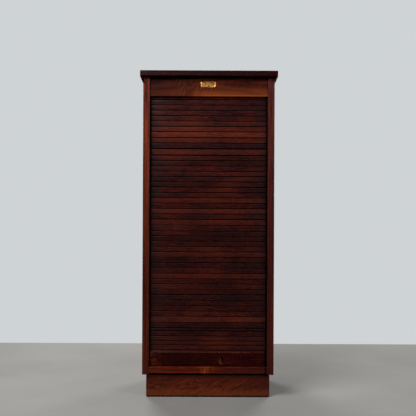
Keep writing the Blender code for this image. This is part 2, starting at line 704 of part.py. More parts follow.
def strike_plate(rail):
    """Let into the bottom rail's top, with a pocket under it for the hook."""
    pivot, drop = LOCK_OFFSET + BOLT_PIVOT_X, BOLT_PIVOT_Z + FIT_GAP
    low = bolt_slot(drop + STRIKE_THICKNESS)[0] - BOLT_SIDE_PLAY
    high = bolt_slot(drop)[1] + BOLT_SIDE_PLAY
    half_slot = BOLT_THICKNESS / 2 + BOLT_SIDE_PLAY
    slot_y = (LEAD_BAR_MIDDLE_Y - half_slot, LEAD_BAR_MIDDLE_Y + half_slot)
    plate_x = (pivot + low - STRIKE_MARGIN, pivot + high + STRIKE_MARGIN)
    plate_y = (slot_y[0] - STRIKE_MARGIN / 2, slot_y[1] + STRIKE_MARGIN / 2)
    plate_z = (RAIL_TOP - STRIKE_THICKNESS, RAIL_TOP)
    plate = board("strike_plate", plate_x, plate_y, plate_z, BRASS)
    above = RAIL_TOP + STRIKE_THICKNESS
    slot_z = (plate_z[0] - STRIKE_THICKNESS, above)
    cut(plate, box_cutter("strike_slot", (pivot + low, pivot + high), slot_y, slot_z))
    recess = box_cutter("strike_recess", plate_x, plate_y, (plate_z[0], above), FIT_GAP)
    clear = STRIKE_POCKET_CLEARANCE
    pocket = box_cutter(
        "strike_pocket",
        (pivot - clear, pivot + high + FIT_GAP),
        slot_y,
        (RAIL_TOP - (BOLT_OUTER_RADIUS - BOLT_PIVOT_Z) - clear, RAIL_TOP),
    )
    cut(rail, recess, pocket)


# Inside


def backs_and_boards():
    """False top and back, outer back panel and bottom board."""
    across = (-HALF_OPENING + FIT_GAP, HALF_OPENING - FIT_GAP)
    full_height = (CARCASS_BOTTOM, CARCASS_TOP)
    board("back_panel", across, (BACK_PANEL_FRONT, CARCASS_BACK), full_height, PLY)
    board(
        "bottom_board",
        across,
        (BOTTOM_RAIL_REAR + FIT_GAP, BACK_PANEL_FRONT - FIT_GAP),
        (RAIL_TOP - BOTTOM_BOARD_THICKNESS, RAIL_TOP),
        INNER_OAK,
    )
    top_z = (FALSE_TOP_BOTTOM, FALSE_TOP_BOTTOM + FALSE_TOP_THICKNESS)
    board("false_top", across, (INSIDE_FRONT, FALSE_BACK_REAR), top_z, INNER_OAK, INNER_EDGE)
    board(
        "false_back",
        across,
        (FALSE_BACK_FRONT, FALSE_BACK_REAR),
        (RAIL_TOP + FIT_GAP, FALSE_TOP_BOTTOM - FIT_GAP),
        PLY,
    )


def shelves():
    """Equal compartments, each shelf on a cleat at either end."""
    clear = (FALSE_TOP_BOTTOM - RAIL_TOP - SHELF_COUNT * SHELF_THICKNESS) / (SHELF_COUNT + 1)
    half = HALF_OPENING - FIT_GAP
    rear = FALSE_BACK_FRONT - FIT_GAP
    for number in range(1, SHELF_COUNT + 1):
        under = RAIL_TOP + number * clear + (number - 1) * SHELF_THICKNESS
        span = (under, under + SHELF_THICKNESS)
        board(f"shelf_{number}", (-half, half), (INSIDE_FRONT, rear), span, INNER_OAK, INNER_EDGE)
        for side, word in ((-1, "left"), (1, "right")):
            board(
                f"shelf_{number}_cleat_{word}",
                on_side(side, half - CLEAT_THICKNESS, half),
                (INSIDE_FRONT + CLEAT_SETBACK, rear - CLEAT_SETBACK),
                (under - FIT_GAP - CLEAT_HEIGHT, under - FIT_GAP),
                INNER_OAK,
                INNER_EDGE,
            )


top_board()
cove_mouldings()
plinth()
side_frame(-1, "left")
side_frame(1, "right")
nameplate(fascia())
curtain()
keyhole_shape = keyhole_cutter()
lead_bar(keyhole_shape)
lock_case(keyhole_shape)
hook_bolt()
strike_plate(bottom_rail())
backs_and_boards()
shelves()
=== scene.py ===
"""Looks of a tambour-front filing cabinet in dark stained oak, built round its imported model."""

import json
import math
import random

import bmesh
import bpy
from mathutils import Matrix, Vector

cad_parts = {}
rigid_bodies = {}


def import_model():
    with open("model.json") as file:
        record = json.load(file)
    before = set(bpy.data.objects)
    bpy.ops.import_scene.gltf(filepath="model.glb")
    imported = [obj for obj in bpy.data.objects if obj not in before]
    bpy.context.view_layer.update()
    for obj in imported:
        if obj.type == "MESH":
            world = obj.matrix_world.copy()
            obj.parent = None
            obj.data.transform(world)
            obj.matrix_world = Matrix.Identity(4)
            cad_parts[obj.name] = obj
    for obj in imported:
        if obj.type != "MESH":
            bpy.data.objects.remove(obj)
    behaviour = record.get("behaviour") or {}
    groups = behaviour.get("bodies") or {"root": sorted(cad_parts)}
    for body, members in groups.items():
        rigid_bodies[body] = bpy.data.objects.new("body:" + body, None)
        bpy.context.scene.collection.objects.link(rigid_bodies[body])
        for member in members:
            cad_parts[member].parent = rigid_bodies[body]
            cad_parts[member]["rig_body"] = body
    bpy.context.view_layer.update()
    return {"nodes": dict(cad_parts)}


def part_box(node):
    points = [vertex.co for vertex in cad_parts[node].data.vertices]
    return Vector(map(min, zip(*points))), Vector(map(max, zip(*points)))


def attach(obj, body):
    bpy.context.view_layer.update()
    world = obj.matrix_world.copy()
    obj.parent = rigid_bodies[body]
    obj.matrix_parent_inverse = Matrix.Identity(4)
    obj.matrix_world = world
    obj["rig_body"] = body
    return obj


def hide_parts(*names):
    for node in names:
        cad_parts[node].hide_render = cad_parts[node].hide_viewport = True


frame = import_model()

nodes = frame["nodes"]


# ---- Top board and coves ------------------------------------------------------------
# A solid oak board over the carcass, with a length of cove moulding glued and pinned
# under each end. Both are stained nearly black-red and varnished; the board's edges are
# rubbed where it is lifted and leant on.


def linear(hex_colour):
    """An sRGB hex colour as linear RGBA."""
    parts = [int(hex_colour[i : i + 2], 16) / 255 for i in (1, 3, 5)]
    return (*[c / 12.92 if c <= 0.04045 else ((c + 0.055) / 1.055) ** 2.4 for c in parts], 1.0)


def add_node(tree, kind, inputs=None, **settings):
    """Adds a shader node. An input is a value, or the socket that feeds it."""
    made = tree.nodes.new("ShaderNode" + kind)
    for name, value in settings.items():
        setattr(made, name, value)
    for socket, value in (inputs or {}).items():
        if isinstance(value, bpy.types.NodeSocket):
            tree.links.new(value, made.inputs[socket])
        else:
            made.inputs[socket].default_value = value
    return made


def distance_from_edge(tree, place, low, high):
    """Metres from the nearest arris of a box, for a point on one of its faces."""
    middle, half = (low + high) / 2, (high - low) / 2
    off = add_node(tree, "VectorMath", {0: place, 1: middle}, operation="SUBTRACT").outputs[0]
    size = add_node(tree, "VectorMath", {0: off}, operation="ABSOLUTE").outputs[0]
    room = add_node(tree, "VectorMath", {0: half, 1: size}, operation="SUBTRACT").outputs[0]
    x, y, z = add_node(tree, "SeparateXYZ", {0: room}).outputs
    low_xy = add_node(tree, "Math", {0: x, 1: y}, operation="MINIMUM").outputs[0]
    high_xy = add_node(tree, "Math", {0: x, 1: y}, operation="MAXIMUM").outputs[0]
    low_rest = add_node(tree, "Math", {0: high_xy, 1: z}, operation="MINIMUM").outputs[0]
    return add_node(tree, "Math", {0: low_xy, 1: low_rest}, operation="MAXIMUM").outputs[0]


def in_lengths(tree, place, lengths_mm, start=(0.0, 0.0, 0.0)):
    """The place counted in a pattern's own lengths along x, y and z."""
    scale = [1000 / length for length in lengths_mm]
    inputs = {0: place, 1: scale, 2: start}
    return add_node(tree, "VectorMath", inputs, operation="MULTIPLY_ADD").outputs[0]


WEAR_WIDTH = 0.004  # how far rubbing reaches in from an arris
# Near black painted into the slat gaps, the slat ends and the tongues: painted shade, and dirt
GROOVE_SHADE_AND_DIRT = "#030101"


def stained_oak(name, along, colours, seed, box=None, **look):
    """Stained oak under old semi-gloss varnish, with its grain along one axis.

    Growth rings give long wavering bands, open pores short dark lines between them, and
    the medullary rays paler flecks across. Colours are dark, middle, light and rubbed.
    A look's shade is a function that paints the piece's own dirt and wear, and some painted light and
    shade, over them.
    """
    dark, middle, light, rubbed_and_sheen = (linear(c) for c in colours)
    rings = look.get("rings", 6.0)
    ring_mm, ring_length_mm = look.get("ring_size", (55.0, 900.0))
    fleck, wear = look.get("fleck", 0.25), look.get("wear", 0.6)
    gloss, blotch = look.get("roughness", 0.30), look.get("blotch", 0.55)
    material = bpy.data.materials.new(name)
    material.use_nodes = True
    tree = material.node_tree
    shader = tree.nodes["Principled BSDF"]
    place = add_node(tree, "TexCoord").outputs["Object"]
    tone = None
    if look.get("from_mesh"):
        shift = add_node(tree, "Attribute", attribute_name="grain_shift").outputs["Vector"]
        tone = add_node(tree, "Attribute", attribute_name="tone").outputs["Fac"]
        grain_place = add_node(tree, "VectorMath", {0: place, 1: shift}, operation="ADD").outputs[0]
    else:
        slant = math.radians(look.get("slant", 0.0))
        grain_place = add_node(
            tree, "VectorRotate", {"Vector": place, "Angle": slant}, rotation_type="Y_AXIS"
        ).outputs[0]

    def in_units(across_mm, along_mm, offset):
        """The place counted in a pattern's own lengths across and along the grain."""
        lengths = [along_mm if axis == along else across_mm for axis in "xyz"]
        start = (seed * 3.1 + offset, seed * 1.7 - offset, seed * 2.3 + 2 * offset)
        return in_lengths(tree, grain_place, lengths, start)

    def spread(value, low, high, to_low=0.0, to_high=1.0):
        """The value eased from one range to another."""
        return add_node(
            tree,
            "MapRange",
            {0: value, 1: low, 2: high, 3: to_low, 4: to_high},
            interpolation_type="SMOOTHSTEP",
        ).outputs[0]

    def times(a, b):
        """One value times another."""
        return add_node(tree, "Math", {0: a, 1: b}, operation="MULTIPLY").outputs[0]

    def blended(amount, below, above):
        """The colour above laid over the one below, by an amount from 0 to 1."""
        return add_node(
            tree, "Mix", {0: amount, 6: below, 7: above}, data_type="RGBA"
        ).outputs[2]

    field = add_node(
        tree,
        "TexNoise",
        {"Vector": in_units(ring_mm, ring_length_mm, 0.0), "Scale": 1.0, "Detail": 2.0,
         "Roughness": 0.35, "Distortion": 0.25},
    ).outputs[0]
    ring = add_node(tree, "Math", {0: times(field, rings * 2.5)}, operation="FRACT").outputs[0]
    ramp = add_node(tree, "ValToRGB", {0: ring})
    stops = ramp.color_ramp.elements
    stops[0].position, stops[0].color = 0.0, dark
    stops[1].position, stops[1].color = 1.0, middle
    for position, colour in ((0.22, middle), (0.62, light)):
        stops.new(position).color = colour
    # Broad clouding of the stain, about 95 mm across the grain and 240 mm along it
    cloud = add_node(
        tree,
        "TexNoise",
        {"Vector": in_units(95.0, 240.0, 7.0), "Scale": 1.0, "Detail": 3.0, "Roughness": 0.6},
    ).outputs[0]
    colour = blended(times(spread(cloud, 0.35, 0.68), blotch), ramp.outputs[0], dark)
    # Streaks of the wood's own colour, 3 mm wide and some 120 mm long
    streak = add_node(
        tree,
        "TexNoise",
        {"Vector": in_units(3.2, 120.0, 3.0), "Scale": 1.0, "Detail": 3.0, "Roughness": 0.65},
    ).outputs[0]
    streaks = look.get("streaks", 0.6)
    colour = blended(times(spread(streak, 0.50, 0.72), streaks), colour, light)
    colour = blended(times(spread(streak, 0.50, 0.30), streaks), colour, dark)
    # Pores are 0.3 mm wide in oak and are drawn 1.1 mm wide so that they show
    pores = spread(
        add_node(
            tree,
            "TexNoise",
            {"Vector": in_units(1.1, 26.0, 5.0), "Scale": 1.0, "Detail": 1.0},
        ).outputs[0],
        0.56,
        0.68,
    )
    colour = blended(times(pores, 0.7), colour, tuple(0.35 * c for c in dark[:3]) + (1.0,))
    # Ray flecks, 12 mm long across the grain and 3 mm wide unless a piece has its own
    rays = spread(
        add_node(
            tree,
            "TexNoise",
            {"Vector": in_units(*look.get("ray_size", (12.0, 3.0)), 9.0), "Scale": 1.0,
             "Detail": 1.5, "Distortion": 1.4},
        ).outputs[0],
        0.60,
        0.72,
    )
    colour = blended(times(rays, fleck), colour, rubbed_and_sheen)
    if "shade" in look:
        colour = look["shade"](tree, place, colour, blended, spread, times)
    if tone is not None:
        # A light slat is rubbed in patches, some 30 mm long
        patch = add_node(
            tree,
            "TexNoise",
            {"Vector": in_units(5.0, 30.0, 13.0), "Scale": 1.0, "Detail": 4.0, "Roughness": 0.8},
        ).outputs[0]
        lighter = add_node(tree, "MapRange", {0: tone, 1: 0.0, 2: 1.0, 3: 0.0, 4: 0.60}).outputs[0]
        colour = blended(times(lighter, spread(patch, 0.38, 0.62, 0.25, 1.0)), colour, rubbed_and_sheen)
        darker = add_node(tree, "MapRange", {0: tone, 1: 0.0, 2: -1.0, 3: 0.0, 4: 0.75}).outputs[0]
        colour = blended(darker, colour, dark)
    if look.get("from_mesh"):
        edge = add_node(tree, "Attribute", attribute_name="edge").outputs["Fac"]
    elif box:
        near = distance_from_edge(tree, place, *box)
        edge = spread(near, WEAR_WIDTH, 0.0)
    else:
        edge = None
    if edge is not None:
        patchy = add_node(
            tree,
            "TexNoise",
            {"Vector": in_units(16.0, 45.0, 11.0), "Scale": 1.0, "Detail": 3.0, "Roughness": 0.7},
        ).outputs[0]
        colour = blended(times(times(edge, spread(patchy, 0.36, 0.66)), wear), colour, rubbed_and_sheen)
    if look.get("from_mesh"):
        # Painted shade and dirt, near black, in the gaps between slats, at the slat ends and on the
        # tongues
        groove = add_node(tree, "Attribute", attribute_name="groove").outputs["Fac"]
        colour = blended(groove, colour, linear(GROOVE_SHADE_AND_DIRT))
    tree.links.new(colour, shader.inputs["Base Color"])
    dull = spread(cloud, 0.3, 0.7, gloss - 0.05, gloss + 0.07)
    dull = add_node(tree, "Math", {0: pores, 1: 0.18, 2: dull}, operation="MULTIPLY_ADD").outputs[0]
    tree.links.new(dull, shader.inputs["Roughness"])
    height = add_node(tree, "Math", {0: pores, 1: -1.0, 2: times(streak, 0.8)}, operation="MULTIPLY_ADD")
    bump = add_node(
        tree, "Bump", {"Height": height.outputs[0], "Strength": 0.5, "Distance": 0.0003}
    )
    tree.links.new(bump.outputs[0], shader.inputs["Normal"])
    shader.inputs["IOR"].default_value = 1.5
    shader.inputs["Specular IOR Level"].default_value = look.get("specular", 0.10)
    return material


def finish_node(name, material):
    """Gives a carried-over solid its finish, on every face."""
    mesh = nodes[name].data
    mesh.materials.clear()
    mesh.materials.append(material)


TOP_COLOURS = ("#0d0002", "#1c0203", "#300504", "#4c140c")
finish_node(
    "top_board",
    stained_oak("stained_oak_top_board", "x", TOP_COLOURS, 1.0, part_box("top_board"), wear=0.35),
)
for number, word in enumerate(("left", "right")):
    name = f"cove_moulding_{word}"
    finish_node(
        name,
        stained_oak(
            f"stained_oak_{name}", "y", TOP_COLOURS, 2.3 + number, wear=0.0, roughness=0.6,
            specular=0.0,
        ),
    )


# ---- Fascia -------------------------------------------------------------------------
# The board over the opening that hides the rolled curtain. It is oak with a broken,
# slanting figure, fixed between the stiles and set back from them. Hands on the curtain
# have worn its lower edge to orange wood.

RAY_SLANT = -24  # degrees from upright
FASCIA_COLOURS = ("#220a07", "#3f130a", "#64250f", "#93401c")


def fascia_shade(tree, place, colour, blended, spread, times):
    """Darker left end, slanting rays, worn lower edge, painted warm light above it, painted shadow at
    the top.
    """
    low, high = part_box("fascia_board")
    x, _, z = add_node(tree, "SeparateXYZ", {0: place}).outputs
    turned = add_node(
        tree,
        "VectorRotate",
        {"Vector": place, "Angle": math.radians(RAY_SLANT)},
        rotation_type="Y_AXIS",
    ).outputs[0]
    rays = add_node(
        tree,
        "TexNoise",
        {"Vector": in_lengths(tree, turned, (4.5, 60.0, 70.0)), "Scale": 1.0, "Detail": 2.0},
    ).outputs[0]
    here = times(spread(x, low.x + 0.08, low.x + 0.18), spread(x, 0.10, -0.02, 0.25, 1.0))
    rays = times(spread(rays, 0.50, 0.66), here)
    colour = blended(times(rays, 0.28), colour, linear("#8f4a26"))
    colour = blended(spread(x, low.x + 0.22, low.x + 0.02, 0.0, 0.75), colour, linear("#200a0b"))
    # Painted warm light over the lower middle and right of the fascia, above its worn edge
    glow = times(spread(z, low.z + 0.06, low.z + 0.005), spread(x, -0.14, 0.02, 0.15, 1.0))
    colour = blended(times(glow, 0.35), colour, linear("#84401c"))
    rim = times(spread(z, low.z + 0.008, low.z + 0.002), spread(x, -0.14, 0.04, 0.05, 1.0))
    colour = blended(times(rim, 0.6), colour, linear("#9c4a1c"))
    # Painted shadow, near black, along the top where the top board overhangs the fascia
    return blended(spread(z, high.z - 0.010, high.z - 0.005, 0.0, 0.9), colour, linear("#060203"))


finish_node(
    "fascia_board",
    stained_oak(
        "stained_oak_fascia",
        "x",
        FASCIA_COLOURS,
        5.2,
        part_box("fascia_board"),
        ring_size=(90.0, 700.0),
        rings=3.0,
        streaks=0.3,
        fleck=0.2,
        wear=0.0,
        specular=0.06,
        shade=fascia_shade,
    ),
)


# ---- Nameplate ----------------------------------------------------------------------
# A blank stamped brass plate with a raised rim, held by two round-headed brass pins. The
# lacquer has gone: high places are rubbed bright and the ground has browned.


def aged_brass(name, seed, box):
    """Rolled brass, its lacquer gone: bright where it is rubbed, brown in the hollows."""
    material = bpy.data.materials.new(name)
    material.use_nodes = True
    tree = material.node_tree
    shader = tree.nodes["Principled BSDF"]
    place = add_node(tree, "TexCoord").outputs["Object"]
    # Patches of tarnish about 9 mm across
    moved = add_node(
        tree, "VectorMath", {0: place, 1: (110.0,) * 3, 2: (seed,) * 3}, operation="MULTIPLY_ADD"
    ).outputs[0]
    tarnish = add_node(
        tree, "TexNoise", {"Vector": moved, "Scale": 1.0, "Detail": 5.0, "Roughness": 0.65}
    ).outputs[0]
    near = distance_from_edge(tree, place, *box)
    rim = add_node(tree, "MapRange", {0: near, 1: 0.003, 2: 0.0, 3: 0.0, 4: 0.4}).outputs[0]
    bare = add_node(tree, "MapRange", {0: tarnish, 1: 0.42, 2: 0.56, 3: 0.0, 4: 0.9}).outputs[0]
    amount = add_node(tree, "Math", {0: rim, 1: bare}, operation="ADD", use_clamp=True).outputs[0]
    colour = add_node(
        tree, "Mix", {0: amount, 6: linear("#5c2c0c"), 7: linear("#f0ac5c")}, data_type="RGBA"
    ).outputs[2]
    tree.links.new(colour, shader.inputs["Base Color"])
    shader.inputs["Metallic"].default_value = 1.0
    dull = add_node(tree, "MapRange", {0: tarnish, 1: 0.35, 2: 0.65, 3: 0.52, 4: 0.30}).outputs[0]
    tree.links.new(dull, shader.inputs["Roughness"])
    bump = add_node(tree, "Bump", {"Height": tarnish, "Strength": 0.35, "Distance": 0.0002})
    tree.links.new(bump.outputs[0], shader.inputs["Normal"])
    return material


def stamped_plate(name, low, high):
    """A plate with rounded corners, a raised rim and a slightly dished middle."""
    half = (high - low) / 2
    middle = (low + high) / 2
    levels = (  # inset from the outline, and distance in front of the back
        (0.0, 0.0), (0.0, 0.0006), (0.0004, 0.0010), (0.0016, 0.0010), (0.0021, 0.00055),
        (0.0075, 0.00065),
    )
    corner, steps = 0.003, 6
    shape = bmesh.new()
    rings = []
    for inset, up in levels:
        radius = max(corner - inset, 0.0008)
        ring = []
        for quarter, (sx, sz) in enumerate(((1, 1), (-1, 1), (-1, -1), (1, -1))):
            for step in range(steps + 1):
                turn = math.pi / 2 * (quarter + step / steps)
                x = sx * (half.x - inset - radius) + radius * math.cos(turn)
                z = sz * (half.z - inset - radius) + radius * math.sin(turn)
                ring.append(shape.verts.new((middle.x + x, high.y - up, middle.z + z)))
        rings.append(ring)
    for outer, inner in zip(rings, rings[1:]):
        for i in range(len(outer)):
            j = (i + 1) % len(outer)
            shape.faces.new((outer[i], outer[j], inner[j], inner[i]))
    shape.faces.new(rings[0])
    shape.faces.new(rings[-1])
    bmesh.ops.recalc_face_normals(shape, faces=shape.faces)
    mesh = bpy.data.meshes.new(name)
    shape.to_mesh(mesh)
    shape.free()
    mesh.shade_smooth()
    mesh.set_sharp_from_angle(angle=math.radians(50))
    made = bpy.data.objects.new(name, mesh)
    bpy.context.scene.collection.objects.link(made)
    return made


plate = stamped_plate("stamped_nameplate", *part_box("nameplate"))
plate.data.materials.append(aged_brass("aged_brass_nameplate", 4.0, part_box("nameplate")))
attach(plate, "carcass")
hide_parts("nameplate")
for number, word in enumerate(("left", "right")):
    name = f"nameplate_pin_{word}"
    finish_node(name, aged_brass(f"aged_brass_pin_{word}", 8.0 + number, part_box(name)))


# ---- Side frames --------------------------------------------------------------------
# Each side is two stiles and three rails, mortised and tenoned, round two loose panels.
# The stiles are straight-grained oak; the left one is painted lighter than the right, as painted light
# falling from the left.

# The left stile's lighter colours are painted light from the left; the right's darker ones are painted
# shade
LIT_LEFT_STILE = ("#2a0b08", "#551a0c", "#84361b", "#a25234")
SHADED_RIGHT_STILE = ("#21080a", "#4c1b17", "#6e2d21", "#914732")
PANEL_COLOURS = ("#200b09", "#451a10", "#662d18", "#84472a")


def foot_shade(tree, place, colour, blended, spread, times):
    """Painted shade, darker and redder towards the floor, and a painted shadow line under the top board.
    """
    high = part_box("front_stile_left")[1]
    z = add_node(tree, "SeparateXYZ", {0: place}).outputs[2]
    # Painted shade: the frames darken and redden towards the floor, where less light falls
    colour = blended(spread(z, 1.60, 0.55, 0.0, 0.62), colour, linear("#2a0a07"))
    # Painted shadow, near black, under the top board's overhang
    return blended(spread(z, high.z - 0.008, high.z - 0.004, 0.0, 0.85), colour, linear("#060203"))


for side, (word, front_colours) in enumerate((("left", LIT_LEFT_STILE), ("right", SHADED_RIGHT_STILE))):
    for number, (part, along) in enumerate(
        (
            ("front_stile", "z"),
            ("back_stile", "z"),
            ("side_top_rail", "y"),
            ("side_middle_rail", "y"),
            ("side_bottom_rail", "y"),
            ("side_panel_upper", "z"),
            ("side_panel_lower", "z"),
        )
    ):
        name = f"{part}_{word}"
        stile = along == "z" and "stile" in part
        finish_node(
            name,
            stained_oak(
                f"stained_oak_{name}",
                along,
                front_colours if part == "front_stile" else PANEL_COLOURS,
                11.0 + 7.0 * side + number,
                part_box(name),
                rings=4.0 if stile else 7.0,
                ring_size=(40.0, 1400.0) if stile else (75.0, 700.0),
                fleck=0.15 if stile else 0.35,
                wear=0.25 if "panel" not in part else 0.0,
                blotch=0.35,
                shade=foot_shade,
            ),
        )


# ---- Curtain ------------------------------------------------------------------------
# Forty-nine oak slats, rounded along their front edges and glued to canvas, with a thin
# tongue at each end that runs in the side frames' grooves. Single slats differ in height
# and colour and stand a hair proud or back, and the gaps between them are uneven.

SLATS_PER_SECTION = 4
SLAT_COLOURS = ("#120507", "#2d0b0c", "#47150e", "#752f19")
SLAT_ROUNDING = 0.0030
SLAT_PLAY = 0.0002  # between two slats' backs
TONGUE_THICKNESS = 0.005
SLAT_FACE_INSET = 0.015  # from a tongue's end to the slat's shoulder
SECTION_SET_BACK = 0.00005  # keeps gathered sections' faces from coinciding
SLAT_MIDDLE_BULGE = 0.0004
chance = random.Random(19)


def slat_profile(low, high, front, back, gap_below, gap_above):
    """The slat's outline in Y and Z, with how worn each point is and how much painted shade and dirt it
    takes in the gaps.
    """
    r, web = SLAT_ROUNDING, back - TONGUE_THICKNESS
    bottom, top = low + gap_below / 2, high - gap_above / 2
    points = [(back, low, 0.0, 1.0), (back, high, 0.0, 1.0)]
    points += [(web, high, 0.0, 1.0), (web, top, 0.0, 1.0)]
    steps = 6
    for step in range(steps + 1):
        turn = math.pi / 2 * step / steps
        y, drop = front + r * (1 - math.sin(turn)), r * (1 - math.cos(turn))
        points.append((y, top - drop, 0.4 * step / steps, (1 - step / steps) ** 0.7))
    middle = (bottom + top) / 2
    for share in (-0.9, -0.5, 0.0, 0.5, 0.9):
        height = middle - share * (top - bottom - 2 * r) / 2
        points.append((front - SLAT_MIDDLE_BULGE * (1 - abs(share)), height, 0.0, 0.0))
    for step in range(steps + 1):
        turn = math.pi / 2 * (1 - step / steps)
        y, rise = front + r * (1 - math.sin(turn)), r * (1 - math.cos(turn))
        points.append((y, bottom + rise, 1 - step / steps, (step / steps) ** 1.4))
    return [*points, (web, bottom, 0.0, 1.0), (web, low, 0.0, 1.0)]


def slat(name, low, high, front, back, half_face, half_tongue, gaps, tone):
    """One slat: its section run from tongue to tongue, a little bowed."""
    profile = slat_profile(low, high, front, back, *gaps)
    web = back - TONGUE_THICKNESS
    bow, skew = chance.uniform(-0.0002, 0.0002), chance.uniform(-0.0002, 0.0002)
    stations = [-1.0, -0.996, -0.98, -0.66, -0.33, 0.0, 0.33, 0.66, 0.98, 0.996, 1.0]
    shape = bmesh.new()
    edge_layer = shape.verts.layers.float.new("edge")
    groove_layer = shape.verts.layers.float.new("groove")
    rings = []

    def ring(x, tongue, end=0.0):
        made = []
        for y, z, rub, grime_and_shade in profile:
            if tongue:
                y = max(y, web)
            elif y < web:
                y += 0.001 * end + bow * (1 - (x / half_face) ** 2) + skew * x / half_face
            vert = shape.verts.new((x, y, z))
            vert[edge_layer] = rub
            vert[groove_layer] = max(grime_and_shade, end, 1.0 if tongue else 0.0)
            made.append(vert)
        rings.append(made)

    ring(-half_tongue, True)
    ring(-half_face, True)
    for station in stations:
        ring(station * half_face, False, {1.0: 1.0, 0.996: 0.6}.get(abs(station), 0.0))
    ring(half_face, True)
    ring(half_tongue, True)
    for one, two in zip(rings, rings[1:]):
        for i in range(len(one)):
            j = (i + 1) % len(one)
            shape.faces.new((one[i], one[j], two[j], two[i]))
    shape.faces.new(rings[0])
    shape.faces.new(rings[-1])
    bmesh.ops.remove_doubles(shape, verts=shape.verts, dist=1e-6)
    bmesh.ops.dissolve_degenerate(shape, edges=shape.edges, dist=1e-6)
    bmesh.ops.recalc_face_normals(shape, faces=shape.faces)
    mesh = bpy.data.meshes.new(name)
    shape.to_mesh(mesh)
    shape.free()
    mesh.shade_smooth()
    mesh.set_sharp_from_angle(angle=math.radians(35))
    shift = (chance.uniform(-3, 3), chance.uniform(-1, 1), chance.uniform(-1, 1))
    count = len(mesh.vertices)
    mesh.attributes.new("tone", "FLOAT", "POINT").data.foreach_set("value", [tone] * count)
    mesh.attributes.new("grain_shift", "FLOAT_VECTOR", "POINT").data.foreach_set(
        "vector", list(shift) * count
    )
    made = bpy.data.objects.new(name, mesh)
    bpy.context.scene.collection.objects.link(made)
    return made


STAIN_PLACE = (-0.131, 0.0, 1.152)
STAIN_REACH = 0.030


def curtain_shade(tree, place, colour, blended, spread, times):
    """Mottled polish, darker ends with painted shade at the right end, and a round stain left of the
    middle.
    """
    x, _, z = add_node(tree, "SeparateXYZ", {0: place}).outputs
    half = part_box("tambour_section_01")[1].x
    mottle = add_node(
        tree,
        "TexNoise",
        {"Vector": in_lengths(tree, place, (15.0, 15.0, 7.0)), "Scale": 1.0, "Detail": 3.0,
         "Roughness": 0.7},
    ).outputs[0]
    colour = blended(spread(mottle, 0.53, 0.74, 0.0, 0.50), colour, linear("#7a2a18"))
    colour = blended(spread(mottle, 0.50, 0.32, 0.0, 0.60), colour, linear("#0c0303"))
    clouds = add_node(
        tree,
        "TexNoise",
        {"Vector": in_lengths(tree, place, (210.0, 210.0, 95.0), (4.0, 1.0, 2.6)), "Scale": 1.0,
         "Detail": 2.0},
    ).outputs[0]
    colour = blended(spread(clouds, 0.50, 0.68, 0.0, 0.35), colour, linear("#542010"))
    colour = blended(spread(clouds, 0.50, 0.34, 0.0, 0.60), colour, linear("#16080b"))
    wander = add_node(
        tree,
        "TexNoise",
        {"Vector": place, "Scale": 9.0, "Detail": 2.0},
    ).outputs[0]
    # The edge of the darker ends wanders, by 160 mm times the noise
    uneven = add_node(tree, "Math", {0: wander, 1: 0.16, 2: x}, operation="MULTIPLY_ADD").outputs[0]
    grime_and_shade = linear("#1e1013")
    # A darker left end, and painted shade at the right end where the right stile shades the slats
    colour = blended(spread(uneven, -half + 0.21, -half + 0.06, 0.0, 0.75), colour, grime_and_shade)
    colour = blended(spread(uneven, half - 0.04, half + 0.06, 0.0, 0.75), colour, grime_and_shade)
    inputs = {0: place, 1: STAIN_PLACE}
    off = add_node(tree, "VectorMath", inputs, operation="SUBTRACT").outputs[0]
    flat = add_node(tree, "VectorMath", {0: off, 1: (1.0, 0.0, 1.0)}, operation="MULTIPLY").outputs[0]
    reach = add_node(tree, "VectorMath", {0: flat}, operation="LENGTH").outputs["Value"]
    return blended(spread(reach, STAIN_REACH, 0.008, 0.0, 0.55), colour, linear("#0c0404"))


slat_material = stained_oak(
    "stained_oak_slats",
    "x",
    SLAT_COLOURS,
    31.0,
    from_mesh=True,
    rings=5.0,
    ring_size=(30.0, 500.0),
    fleck=0.5,
    ray_size=(4.0, 9.0),
    wear=0.40,
    blotch=0.5,
    streaks=0.25,
    shade=curtain_shade,
)
# Slats are counted from the lead bar up. Most are of one height, in mm, and some are odd;
# all are then scaled alike to fill the curtain, so a slat can reach past its own section
SLATS, SLAT_HEIGHT = 49, 27.2
ODD_HEIGHTS = {
    1: 26, 2: 21, 3: 25, 4: 26, 5: 15, 7: 31.5, 11: 29, 14: 25, 15: 29, 22: 26, 23: 25, 24: 30, 25: 30,
    34: 26, 38: 33, 39: 29, 41: 30,
}
# Slats that stand out by how light (1) or dark (-1) they are
TONES = {
    7: 0.6, 15: 0.3, 19: 0.25, 22: -0.6, 25: 0.25, 27: 0.4, 29: 0.3, 38: 0.35, 39: -0.6, 40: 0.35,
    41: 0.8, 42: 0.45, 46: -0.4, 47: -0.6,
}
